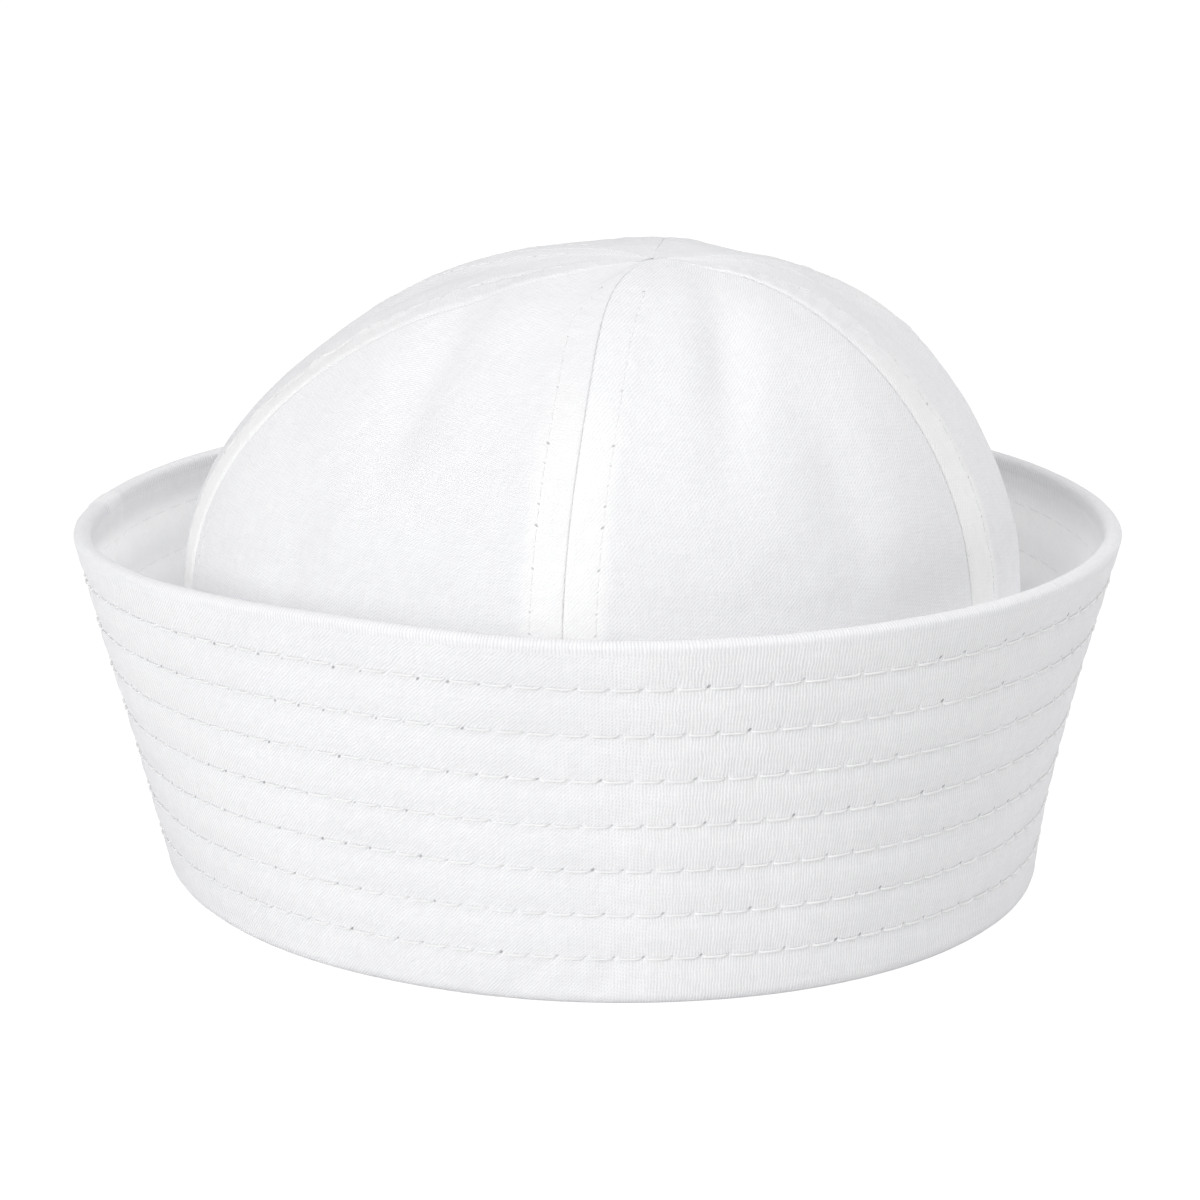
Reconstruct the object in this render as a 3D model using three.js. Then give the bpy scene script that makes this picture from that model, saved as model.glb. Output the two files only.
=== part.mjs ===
// A sailor cap of white cotton twill. Six sewn gores make a domed crown, and a tall brim, stitched
// round in seven rows, stands turned up about it. Millimetres and degrees, +Z up. The cap stands on
// the fold of its brim with its front towards -Y, and azimuths run from the front towards +X.
import * as THREE from 'three';

const { sin, cos, min, max, abs, exp, hypot, atan2, PI } = Math;
const radians = THREE.MathUtils.degToRad;
const degrees = THREE.MathUtils.radToDeg;
const lerp = THREE.MathUtils.lerp;

// Crown
const CROWN_HEIGHT = 136.7;
const DOME_SPRING = 62; // height where the upright wall turns into the dome
const CROWN_SWELL = 1.5; // how far the wall swells between its foot and the spring
const CROWN_LEAN = { right: 8.7, front: 12.2 }; // how far the soft top has slumped
const CROWN_CLOTH = 1.2;
const GORE_FLATNESS = 1.3; // a gore lies this much flatter than the seams at its sides

// Crown seams, with a pressed allowance on each side of the crease
const SEAM_GAP = 0.3;
const ALLOWANCE = [
  { out: SEAM_GAP / 2, lift: -0.45 },
  { out: 1.5, lift: 0.4 },
  { out: 6.1, lift: 0.35 },
  { out: 8.2, lift: 0 },
];
const BAND_LIFT = max(...ALLOWANCE.map(({ lift }) => lift));
const ALLOWANCE_SHARE = 0.36; // most of a gore's width that one allowance takes near the top
const TIP = 0.006; // the gores stop this far short of the point where the seams meet

// Brim
const BRIM_CLOTH = 2.6;
const FOLD_RADIUS = 3.5; // of the fold that the cap stands on
const FOOT_WIDTH = 6.2; // from the fold's outside in to where the crown joins the brim
const FIRST_ROW = 8.2; // first row of stitches, up the brim from the end of its fold
const ROW_PITCH = 10;
const ROW_COUNT = 7;
const ROW_DEPTH = 0.4;
const JOIN = { azimuth: 258.5, width: 10, rise: 0.5 }; // overlapped ends of the brim's band
const BRIM_STEP = 5; // degrees between the brim's sections

// Cloth
const TWILL = { color: 0xf2f2f0, roughness: 0.92, metalness: 0 };

// The brim's sections: outside radius at the fold and at the rim, height of the rim, and how far the
// wall sags in below its middle
const BRIM_SECTIONS = [
  { azimuth: 0, fold: 95, rim: 109.6, height: 77.4, sag: 0 },
  { azimuth: 30, fold: 96.9, rim: 109.7, height: 77.1, sag: 0.2 },
  { azimuth: 60, fold: 96.2, rim: 110.2, height: 76.6, sag: 1 },
  { azimuth: 90, fold: 95, rim: 111.5, height: 76.4, sag: 1.6 },
  { azimuth: 120, fold: 98.4, rim: 109.5, height: 77.8, sag: 0.8 },
  { azimuth: 150, fold: 102.2, rim: 108.3, height: 78.6, sag: 0.2 },
  { azimuth: 180, fold: 103.6, rim: 108.8, height: 78.8, sag: 0 },
  { azimuth: 210, fold: 101.3, rim: 110.9, height: 77.8, sag: 0.4 },
  { azimuth: 240, fold: 97.5, rim: 113.6, height: 76.2, sag: 0.4 },
  { azimuth: 270, fold: 94.6, rim: 113, height: 75.1, sag: 0 },
  { azimuth: 300, fold: 92, rim: 109.4, height: 76.9, sag: 0 },
  { azimuth: 330, fold: 92.5, rim: 107.4, height: 78.4, sag: 0 },
];

// The crown's seams: azimuth at the foot, and how far each sways sideways near the top, in parts of a
// quarter turn of the dome
const SEAMS = [
  { azimuth: -4.4, sway: -0.042 },
  { azimuth: 55.4, sway: 0.044 },
  { azimuth: 114, sway: 0 },
  { azimuth: 174, sway: 0 },
  { azimuth: 232, sway: 0 },
  { azimuth: 283, sway: 0.034 },
];
const SWAY_PEAK = 0.2; // reach down from the top where the sway is full

// Where the seams meet: this far from the dome's top, in parts of a quarter turn
const MEETING = { right: 0.0155, front: 0.0905, reach: 0.85 };

// The gores, each from one seam to the next
const GORES = [
  { name: 'crown_gore_front_right', first: 0 },
  { name: 'crown_gore_right', first: 1 },
  { name: 'crown_gore_back_right', first: 2 },
  { name: 'crown_gore_back_left', first: 3 },
  { name: 'crown_gore_left', first: 4 },
  { name: 'crown_gore_front_left', first: 5 },
];

// Soft folds in the crown: where each lies, how long and wide it is, how it turns from upright
// towards +X, and how deep it is
const FOLDS = [
  { azimuth: -43, rise: 46, long: 24, wide: 8, turn: -22, depth: 1.5 },
  { azimuth: -36, rise: 60, long: 9, wide: 12, turn: 0, depth: -0.8 },
  { azimuth: -19, rise: 35, long: 20, wide: 7, turn: -8, depth: 0.9 },
  { azimuth: 22, rise: 55, long: 26, wide: 7, turn: 14, depth: 1.5 },
  { azimuth: 35, rise: 30, long: 18, wide: 9, turn: 0, depth: 0.9 },
  { azimuth: -48, rise: 15, long: 14, wide: 7, turn: -10, depth: 0.7 },
  { azimuth: 85, rise: 42, long: 24, wide: 9, turn: 12, depth: 1.2 },
  { azimuth: 140, rise: 50, long: 26, wide: 9, turn: -14, depth: 1.3 },
  { azimuth: 200, rise: 44, long: 24, wide: 9, turn: 12, depth: 1.2 },
  { azimuth: 258, rise: 50, long: 22, wide: 8, turn: 10, depth: 1.1 },
];

// The crown's wall stands inside the brim's foot, its seams' bands a seam gap clear of it
const CROWN_INSET = FOOT_WIDTH + SEAM_GAP + BAND_LIFT;

// Parts of a quarter turn down from the dome's top, past 1 on the upright wall
const WALL_PER_UNIT = (CROWN_HEIGHT - DOME_SPRING) * PI / 2;
const FOOT_REACH = 1 + DOME_SPRING / WALL_PER_UNIT;
const WALL_ROWS = 4;
const DOME_REACHES = [0.93, 0.86, 0.79, 0.72, 0.64, 0.56, 0.48, 0.4, 0.32, 0.24, 0.16, 0.08, TIP];
const GORE_MIDDLES = [0.2, 0.4, 0.6, 0.8]; // interior columns, in parts of the span between allowances
const CHART_STEP = 0.002; // small step for slopes


/** A column of the brim's table, smoothly interpolated round the cap. */
function around(column, azimuth) {
  const count = BRIM_SECTIONS.length;
  const turn = THREE.MathUtils.euclideanModulo(azimuth, 360) / 360 * count;
  const start = Math.floor(turn);
  const part = turn - start;
  const [before, here, next, after] = [-1, 0, 1, 2].map(
    (step) => BRIM_SECTIONS[(start + step + count) % count][column]);
  return 0.5 * (2 * here + (next - before) * part
    + (2 * before - 5 * here + 4 * next - after) * part ** 2
    + (3 * here - before - 3 * next + after) * part ** 3);
}

/**
 * Place of a point across a gore, on a flat chart of the crown: the dome's top is its middle, and
 * distances from there are parts of a quarter turn down the dome, past 1 on the upright wall.
 */
function chartPlace(gore, across, reach) {
  const left = SEAMS[gore.first];
  const right = SEAMS[(gore.first + 1) % SEAMS.length];
  const span = THREE.MathUtils.euclideanModulo(right.azimuth - left.azimuth, 360);
  const angle = radians(left.azimuth + span * across);
  const pull = (1 - min(reach / MEETING.reach, 1) ** 2) ** 2;
  const sway = lerp(left.sway, right.sway, across) * reach / SWAY_PEAK * exp(1 - reach / SWAY_PEAK);
  return new THREE.Vector2(
    reach * sin(angle) + MEETING.right * pull + sway * cos(angle),
    -reach * cos(angle) - MEETING.front * pull + sway * sin(angle));
}

/** How deep the soft folds are at a place on the chart. */
function foldDepth(place) {
  const azimuth = degrees(atan2(place.x, -place.y));
  const rise = 90 * (1 - place.length());
  return FOLDS.reduce((depth, fold) => {
    const turn = radians(THREE.MathUtils.euclideanModulo(azimuth - fold.azimuth + 180, 360) - 180);
    const side = turn * around('fold', azimuth) * cos(radians(max(rise, 0)));
    const up = (rise - fold.rise) / 90 * WALL_PER_UNIT;
    const tilt = radians(fold.turn);
    const along = (up * cos(tilt) + side * sin(tilt)) / fold.long;
    const off = (side * cos(tilt) - up * sin(tilt)) / fold.wide;
    return depth + fold.depth * exp(-along * along - off * off);
  }, 0);
}

/** A point of the crown's outer face at a place on the chart, let in by a gore's flatness. */
function crownPoint(place, flat = 0) {
  const reach = place.length();
  const angle = atan2(place.x, -place.y);
  const wall = around('fold', degrees(angle)) - CROWN_INSET;
  if (reach >= 1) {
    const down = (reach - 1) / (FOOT_REACH - 1);
    const radius = wall + CROWN_SWELL * (1 - down * down);
    return new THREE.Vector3(
      radius * sin(angle), -radius * cos(angle), DOME_SPRING - WALL_PER_UNIT * (reach - 1));
  }
  const rise = PI / 2 * (1 - reach);
  const letIn = flat * sin(2 * rise);
  const radius = (wall + CROWN_SWELL) * cos(rise) - letIn * sin(rise);
  return new THREE.Vector3(
    radius * sin(angle) + CROWN_LEAN.right * sin(rise) ** 2,
    -radius * cos(angle) - CROWN_LEAN.front * sin(rise) ** 3,
    DOME_SPRING + (CROWN_HEIGHT - DOME_SPRING) * sin(rise) - letIn * cos(rise));
}

/** The crown's outer face at a place on a gore, its normal, and the unit step across the gore. */
function crownFace(gore, across, reach) {
  const place = chartPlace(gore, across, reach);
  const slope = (x, y) => crownPoint(place.clone().add(new THREE.Vector2(x, y)))
    .sub(crownPoint(place.clone().sub(new THREE.Vector2(x, y))));
  const normal = new THREE.Vector3().crossVectors(slope(CHART_STEP, 0), slope(0, CHART_STEP)).normalize();
  const up = crownPoint(chartPlace(gore, across, reach - CHART_STEP))
    .sub(crownPoint(chartPlace(gore, across, reach + CHART_STEP)));
  const step = new THREE.Vector3().crossVectors(up, normal).normalize();
  const point = crownPoint(place, GORE_FLATNESS * sin(PI * across));
  return { place, point, normal, step };
}

/** Columns of a gore at one reach: their place across it, and the lift that the allowances give. */
function goreColumns(gore, reach) {
  const [left, right] = [0, 1].map((across) => crownPoint(chartPlace(gore, across, reach)));
  const width = left.distanceTo(right);
  const shares = ALLOWANCE.map(({ out, lift }) => {
    const share = min(out / width, ALLOWANCE_SHARE * out / ALLOWANCE.at(-1).out);
    return { across: share, lift: lift * min(1, share * width / out) };
  });
  shares[0].across = 0;
  const edge = shares.at(-1).across;
  const middles = GORE_MIDDLES.map((part) => ({ across: lerp(edge, 1 - edge, part), lift: 0 }));
  const mirrored = shares.map(({ across, lift }) => ({ across: 1 - across, lift })).reverse();
  return [...shares, ...middles, ...mirrored];
}

/** Closed geometry from rows of points that run the same way, outer rows first, then inner ones. */
function shell(outer, inner) {
  const rows = outer.length;
  const columns = outer[0].length;
  const points = [...outer.flat(), ...inner.flat()];
  const at = (side, row, column) => (side * rows + row) * columns + column;
  const faces = [];
  const quad = (a, b, c, d) => faces.push(a, b, c, a, c, d);
  for (let row = 0; row < rows - 1; row += 1) {
    for (let column = 0; column < columns - 1; column += 1) {
      quad(at(0, row, column), at(0, row, column + 1), at(0, row + 1, column + 1), at(0, row + 1, column));
      quad(at(1, row, column), at(1, row + 1, column), at(1, row + 1, column + 1), at(1, row, column + 1));
    }
    quad(at(0, row, 0), at(0, row + 1, 0), at(1, row + 1, 0), at(1, row, 0));
    const last = columns - 1;
    quad(at(0, row, last), at(1, row, last), at(1, row + 1, last), at(0, row + 1, last));
  }
  for (let column = 0; column < columns - 1; column += 1) {
    quad(at(0, 0, column), at(1, 0, column), at(1, 0, column + 1), at(0, 0, column + 1));
    const top = rows - 1;
    quad(at(0, top, column), at(0, top, column + 1), at(1, top, column + 1), at(1, top, column));
  }
  return geometry(points, faces);
}

/** A BufferGeometry of shared vertices and triangles. */
function geometry(points, faces) {
  const made = new THREE.BufferGeometry().setFromPoints(points);
  made.setIndex(faces);
  made.computeVertexNormals();
  return made;
}

/** One gore: a doubly curved wall of cloth between two seams. */
function makeGore(gore) {
  const wallReaches = Array.from(
    { length: WALL_ROWS + 1 }, (_, row) => lerp(FOOT_REACH, 1, row / WALL_ROWS));
  const outer = [];
  const inner = [];
  for (const reach of [...wallReaches, ...DOME_REACHES]) {
    const columns = goreColumns(gore, reach);
    const last = columns.length - 1;
    const outerRow = [];
    const innerRow = [];
    columns.forEach(({ across, lift }, index) => {
      const { place, point, normal, step } = crownFace(gore, across, reach);
      const edge = (index === 0 ? 1 : 0) - (index === last ? 1 : 0);
      const base = point.clone().addScaledVector(step, edge * SEAM_GAP / 2);
      const rise = lift - foldDepth(place);
      outerRow.push(base.clone().addScaledVector(normal, rise));
      innerRow.push(base.clone().addScaledVector(normal, rise - CROWN_CLOTH));
    });
    outer.push(outerRow);
    inner.push(innerRow);
  }
  for (const row of [outer[0], inner[0]]) {
    row.forEach((point) => point.setZ(0));
  }
  return shell(outer, inner);
}

/** How much an overlapped join thickens the brim at an azimuth, from 0 to 1. */
function joinShare(azimuth) {
  const half = JOIN.width / 2;
  const off = abs(radians(azimuth - JOIN.azimuth)) * around('rim', azimuth);
  return off < half ? 1 : 0;
}

/** Closed profile of the brim at an azimuth, as distances from the axis and heights. */
function brimProfile(azimuth) {
  const fold = around('fold', azimuth);
  const rim = around('rim', azimuth);
  const height = around('height', azimuth);
  const sag = around('sag', azimuth);
  const rise = JOIN.rise * joinShare(azimuth);
  const slant = hypot(rim - fold, height - FOLD_RADIUS);
  const wall = (up, depth) => ({
    r: lerp(fold, rim, up) - sag * sin(PI * up ** 0.8) - depth + rise,
    z: lerp(FOLD_RADIUS, height, up),
  });
  const inside = (up) => {
    const { r, z } = wall(up, BRIM_CLOTH);
    return { r: r - 2 * rise, z };
  };
  const profile = [{ r: fold - FOOT_WIDTH, z: 0 }];
  for (const turn of [0, 45]) {
    profile.push({
      r: fold - FOLD_RADIUS * (1 - sin(radians(turn))),
      z: FOLD_RADIUS * (1 - cos(radians(turn))),
    });
  }
  profile.push(wall(0.03, 0));
  for (let row = 0; row < ROW_COUNT; row += 1) {
    const up = FIRST_ROW + row * ROW_PITCH;
    profile.push(wall(up / slant, ROW_DEPTH), wall((up + ROW_PITCH / 2) / slant, 0));
  }
  const half = BRIM_CLOTH / 2;
  const edge = wall(1 - half / slant, 0);
  for (const turn of [0, 45, 90, 135]) {
    const swell = half + (turn < 90 ? 0 : rise);
    profile.push({
      r: edge.r - half + swell * cos(radians(turn)), z: edge.z + half * sin(radians(turn)),
    });
  }
  for (const up of [0.985, 0.85, 0.7, 0.55, 0.4, 0.25, 0.1, 0.02]) {
    profile.push(inside(up));
  }
  profile.push({ r: fold - FOOT_WIDTH, z: BRIM_CLOTH });
  return profile;
}

/** The brim: one stitched band, turned up all round, whose foot meets the crown's lower edge. */
function makeBrim() {
  const joinTurn = THREE.MathUtils.radToDeg(JOIN.width / 2 / around('rim', JOIN.azimuth));
  const joinEdges = [-1.08, -0.95, 0.95, 1.08].map((side) => JOIN.azimuth + side * joinTurn);
  const azimuths = Array.from({ length: 360 / BRIM_STEP }, (_, step) => step * BRIM_STEP)
    .filter((azimuth) => joinEdges.every((edge) => abs(edge - azimuth) > 1))
    .concat(joinEdges)
    .sort((a, b) => a - b);
  const rings = azimuths.map((azimuth) => brimProfile(azimuth).map(({ r, z }) => {
    const angle = radians(azimuth);
    return new THREE.Vector3(r * sin(angle), -r * cos(angle), z);
  }));
  const count = rings[0].length;
  const faces = [];
  rings.forEach((_, ring) => {
    const next = (ring + 1) % rings.length;
    for (let spot = 0; spot < count; spot += 1) {
      const after = (spot + 1) % count;
      const [a, b] = [ring * count + spot, next * count + spot];
      const [c, d] = [next * count + after, ring * count + after];
      faces.push(a, b, c, a, c, d);
    }
  });
  return geometry(rings.flat(), faces);
}

/** A named mesh with a cloth material of its own. */
function clothMesh(name, made) {
  const mesh = new THREE.Mesh(made, new THREE.MeshStandardMaterial({ ...TWILL, name: `${name}_twill` }));
  mesh.name = name;
  return mesh;
}

/** The cap, moved so that the middle of its outline stands on the origin. */
function makeCap() {
  const cap = new THREE.Group();
  cap.name = 'sailor_cap';
  cap.add(clothMesh('brim', makeBrim()));
  for (const gore of GORES) {
    cap.add(clothMesh(gore.name, makeGore(gore)));
  }
  const middle = new THREE.Box3().setFromObject(cap).getCenter(new THREE.Vector3());
  cap.position.set(-middle.x, -middle.y, 0);
  return cap;
}

export default makeCap();
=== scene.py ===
"""Dresses a packed sailor cap: a crown sewn from six twill gores, and a brim stitched in rows.

Sizes are millimetres and degrees, made metres where they become a mesh. +Z is up, the cap's front
faces -Y, and azimuths run from the front towards +X.
"""

import logging
import math
from dataclasses import dataclass
from enum import Enum
from typing import Callable

import bmesh
import bpy
import numpy as np
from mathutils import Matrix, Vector, noise


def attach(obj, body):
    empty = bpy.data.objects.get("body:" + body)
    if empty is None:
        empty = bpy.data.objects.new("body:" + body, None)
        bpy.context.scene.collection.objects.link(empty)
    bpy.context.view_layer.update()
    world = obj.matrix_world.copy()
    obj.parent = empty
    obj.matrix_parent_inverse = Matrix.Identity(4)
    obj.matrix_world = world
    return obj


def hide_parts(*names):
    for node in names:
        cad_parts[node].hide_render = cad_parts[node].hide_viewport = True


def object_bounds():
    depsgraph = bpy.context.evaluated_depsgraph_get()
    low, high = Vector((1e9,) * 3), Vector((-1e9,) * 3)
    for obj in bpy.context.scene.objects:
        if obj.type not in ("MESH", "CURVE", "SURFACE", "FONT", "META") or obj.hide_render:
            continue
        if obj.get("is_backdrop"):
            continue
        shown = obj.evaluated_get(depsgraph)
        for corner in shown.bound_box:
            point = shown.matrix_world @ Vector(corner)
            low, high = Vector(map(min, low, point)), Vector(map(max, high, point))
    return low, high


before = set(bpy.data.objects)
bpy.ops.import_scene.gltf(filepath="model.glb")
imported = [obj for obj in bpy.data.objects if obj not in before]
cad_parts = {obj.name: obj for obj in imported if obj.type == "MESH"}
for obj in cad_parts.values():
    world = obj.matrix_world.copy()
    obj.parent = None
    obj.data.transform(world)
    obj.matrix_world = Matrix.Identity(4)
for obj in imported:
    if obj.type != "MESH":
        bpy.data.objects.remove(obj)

LOG = logging.getLogger("sailor_cap")

MM = 0.001
AXIS = np.array([0.838, 0.319, 0.0])  # the crown's axis, from the middle of the cap's outline
CLOTH_MAP = "cloth_map"  # millimetres across and along the cloth
NEEDLE_MAP = "needle_map"  # stitches along a row, and rows
DOUBLED_AND_PAINTED_LIGHT = "doubled_and_painted_light"  # 1 for the lighter tone, 0 for the single one: set by cloth that lies double, and by painted light and painted shade
UPRIGHT = "upright"  # 1 where the twill's ribs stand upright, 0 where they lean
PAINTED_GLOW = "painted_glow"  # share of a painted glow: emission that lightens the brim's inside and the crown's foot where shade falls
ROW_UNIT = 10.0  # millimetres for one row on the crown's needle map

Points = np.ndarray
Values = np.ndarray
Socket = bpy.types.NodeSocket
Lines = list[tuple[Values, Values, Values]]
Colour = tuple[float, float, float, float]
Span = tuple[float, float]


class Column(Enum):
    """A measure that the brim's sections give."""

    FOLD = "fold"
    RIM = "rim"
    HEIGHT = "height"
    SAG = "sag"


class Edge(Enum):
    """One side of a gore."""

    LEFT = 0
    RIGHT = 1


@dataclass(frozen=True)
class Section:
    """The brim at one azimuth: outside radius at fold and rim, height of the rim, and sag."""

    azimuth: float
    fold: float
    rim: float
    height: float
    sag: float


SECTIONS = (
    Section(0, 95.0, 109.6, 77.4, 0.0),
    Section(30, 96.9, 109.7, 77.1, 0.2),
    Section(60, 96.2, 110.2, 76.6, 1.0),
    Section(90, 95.0, 111.5, 76.4, 1.6),
    Section(120, 98.4, 109.5, 77.8, 0.8),
    Section(150, 102.2, 108.3, 78.6, 0.2),
    Section(180, 103.6, 108.8, 78.8, 0.0),
    Section(210, 101.3, 110.9, 77.8, 0.4),
    Section(240, 97.5, 113.6, 76.2, 0.4),
    Section(270, 94.6, 113.0, 75.1, 0.0),
    Section(300, 92.0, 109.4, 76.9, 0.0),
    Section(330, 92.5, 107.4, 78.4, 0.0),
)


@dataclass(frozen=True)
class Hem:
    """The cloth beside a seam: width that lies double, distance of the topstitching from the seam,
    reach at which the stitching stops short of the crown's top, strength of its puckers, and depth
    and width of the crease at the seam."""

    width: float
    row: float
    stop: float = 0.12
    pucker: float = 1.0
    dip: float = 0.02
    turn: float = 1.1

    def held(self, reach: Values) -> Values:
        """How firmly the stitching holds at each reach, 0 to 1."""
        return smooth(self.stop, self.stop + 0.1, reach)


PRESSED = Hem(8.2, 6.1)
WIDE = Hem(11.5, 9.4, pucker=2.4, dip=0.27, turn=2.6)
PLAIN = Hem(0.0, 0.0, dip=0.27, turn=1.0)
CAUGHT = Hem(0.0, 4.0, stop=0.8, dip=0.27, turn=1.0)


@dataclass(frozen=True)
class Seam:
    """A seam of the crown: azimuth at its foot, sideways sway near the top, and its two hems."""

    azimuth: float
    sway: float
    left: Hem = PRESSED
    right: Hem = PRESSED


SEAMS = (
    Seam(-4.4, -0.042),
    Seam(55.4, 0.044, PLAIN, WIDE),
    Seam(114.0, 0.0),
    Seam(174.0, 0.0),
    Seam(232.0, 0.0),
    Seam(283.0, 0.034, WIDE, CAUGHT),
)


@dataclass(frozen=True)
class Gore:
    """One panel of the crown, from a seam to the next."""

    name: str
    first: int

    @property
    def node(self) -> str:
        """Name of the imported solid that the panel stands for."""
        return f"crown_gore_{self.name}"


GORES = (
    Gore("front_right", 0),
    Gore("right", 1),
    Gore("back_right", 2),
    Gore("back_left", 3),
    Gore("left", 4),
    Gore("front_left", 5),
)


@dataclass(frozen=True)
class Dent:
    """A soft fold: where it lies, its half length and half width, its turn from upright and depth.

    The place is an azimuth and, on the crown, the rise over the dome in degrees, and on the brim the
    height in millimetres. A negative depth stands proud.
    """

    azimuth: float
    rise: float
    long: float
    wide: float
    turn: float
    depth: float

    def at(self, side: Values, up: Values) -> Values:
        """Depths at distances beside the fold's middle and above it."""
        tilt = math.radians(self.turn)
        along = (up * math.cos(tilt) + side * math.sin(tilt)) / self.long
        off = (side * math.cos(tilt) - up * math.sin(tilt)) / self.wide
        return self.depth * np.exp(-along * along - off * off)


CROWN_DENTS = (
    Dent(-43, 46, 24, 7, -22, 2.4),
    Dent(-36, 60, 9, 12, 0, -0.9),
    Dent(-19, 35, 20, 6, -8, 1.4),
    Dent(22, 55, 26, 6, 14, 2.4),
    Dent(35, 30, 18, 8, 0, 1.5),
    Dent(-48, 15, 14, 7, -10, 1.1),
    Dent(85, 42, 24, 8, 12, 2.0),
    Dent(140, 50, 26, 8, -14, 2.2),
    Dent(200, 44, 24, 8, 12, 2.0),
    Dent(258, 50, 22, 7, 10, 1.8),
)

BRIM_DENTS = (
    Dent(1, 7, 5, 2.0, 35, 0.45),
    Dent(-3.5, 5, 5, 1.8, -60, 0.45),
    Dent(4, 6, 3.5, 1.4, 10, 0.35),
    Dent(-8.5, 6, 6, 2.4, 50, 0.45),
    Dent(-28, 8, 5, 2.0, -35, 0.35),
    Dent(52, 7, 5, 2.0, 30, 0.35),
    Dent(118, 8, 5, 1.8, 40, 0.4),
    Dent(190, 7, 5, 1.8, -35, 0.4),
    Dent(255, 8, 5, 2.0, 35, 0.4),
)


@dataclass(frozen=True)
class Unevenness:
    """Random rises of the cloth: their height, the distance between them, and a seed."""

    height: float
    size: float
    seed: float


CROWN_UNEVENNESS = (
    Unevenness(0.45, 26.0, 1.7),
    Unevenness(0.16, 9.0, 5.1),
    Unevenness(0.05, 3.6, 8.3),
)

BRIM_UNEVENNESS = (
    Unevenness(0.30, 22.0, 2.9),
    Unevenness(0.10, 8.0, 6.3),
    Unevenness(0.04, 3.4, 9.7),
)


def around(column: Column, azimuth: Values) -> Values:
    """A column of the brim's sections, smoothly interpolated round the cap.

    Args:
        column: The measure.
        azimuth: Azimuths in degrees.

    Returns:
        The measure at each azimuth.
    """
    table = np.array([getattr(section, column.value) for section in SECTIONS])
    turn = np.mod(azimuth, 360.0) / 360.0 * len(table)
    start = np.floor(turn).astype(int)
    part = turn - start
    before, here, after, last = (table[(start + step) % len(table)] for step in (-1, 0, 1, 2))
    return 0.5 * (
        2 * here
        + (after - before) * part
        + (2 * before - 5 * here + 4 * after - last) * part**2
        + (3 * here - before - 3 * after + last) * part**3
    )


def smooth(low: float, high: float, value: Values) -> Values:
    """A smooth step from 0 at low to 1 at high."""
    part = np.clip((value - low) / (high - low), 0.0, 1.0)
    return part * part * (3 - 2 * part)


def ripple(points: Points, size: float, seed: float) -> Values:
    """Smooth random heights between about -1 and 1.

    Args:
        points: Places in millimetres, one a row.
        size: Distance between one rise and the next.
        seed: Picks the pattern.

    Returns:
        One height for each place.
    """
    shift = Vector((seed, 2.3 * seed, -1.7 * seed))
    flat = points.reshape(-1, 3) / size
    return np.array([noise.noise(Vector(p) + shift) for p in flat]).reshape(points.shape[:-1])


def uneven(points: Points, layers: tuple[Unevenness, ...]) -> Values:
    """Heights of all the layers of unevenness at places in millimetres."""
    return sum(layer.height * ripple(points, layer.size, layer.seed) for layer in layers)


def bell(distance: Values, width: float) -> Values:
    """1 at no distance, fading on both sides over about a width."""
    return np.exp(-((distance / width) ** 2))


def turned(azimuth: Values, start: float = 0.0) -> Values:
    """Azimuths counted from a start, from -180 to 180 degrees."""
    return (azimuth - start + 180) % 360 - 180


def run_along(points: Points, axis: int = 0) -> Values:
    """Distances from the first point, along one axis of a net."""
    steps = np.linalg.norm(np.diff(points, axis=axis), axis=-1)
    start = np.zeros_like(np.take(steps, [0], axis=axis))
    return np.concatenate((start, np.cumsum(steps, axis=axis)), axis=axis)


def unit(vectors: Points) -> Points:
    """The vectors at length 1."""
    return vectors / np.linalg.norm(vectors, axis=-1, keepdims=True)


def mesh_of(built: bmesh.types.BMesh, name: str) -> bpy.types.Mesh:
    """A named mesh of what has been built."""
    mesh = bpy.data.meshes.new(name)
    built.to_mesh(mesh)
    built.free()
    return mesh


def linked(name: str, data: bpy.types.ID) -> bpy.types.Object:
    """A new object in the scene."""
    made = bpy.data.objects.new(name, data)
    bpy.context.scene.collection.objects.link(made)
    return made


@dataclass
class Sheet:
    """A cloth's outer face as a net of points in millimetres, rows by columns, for sewing on."""

    points: Points
    ring: bool = False

    def at(self, row: Values, column: Values) -> Points:
        """Points at parts of a row and a column, which runs on past the last one on a ring."""
        rows, columns = self.points.shape[:2]
        if self.ring:
            column = np.mod(column, columns - 1)
        low_row = np.clip(np.floor(row).astype(int), 0, rows - 2)
        low_column = np.clip(np.floor(column).astype(int), 0, columns - 2)
        part_row = (row - low_row)[..., None]
        part_column = (column - low_column)[..., None]
        near = self.points[low_row, low_column] * (1 - part_column)
        near = near + self.points[low_row, low_column + 1] * part_column
        far = self.points[low_row + 1, low_column] * (1 - part_column)
        far = far + self.points[low_row + 1, low_column + 1] * part_column
        return near * (1 - part_row) + far * part_row

    def normals(self, row: Values, column: Values, reach: float = 1.0) -> Points:
        """Outward unit normals at parts of a row and a column, averaged over a small reach."""
        across = self.at(row, column + reach) - self.at(row, column - reach)
        along = self.at(row + reach, column) - self.at(row - reach, column)
        return unit(np.cross(across, along))


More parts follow.
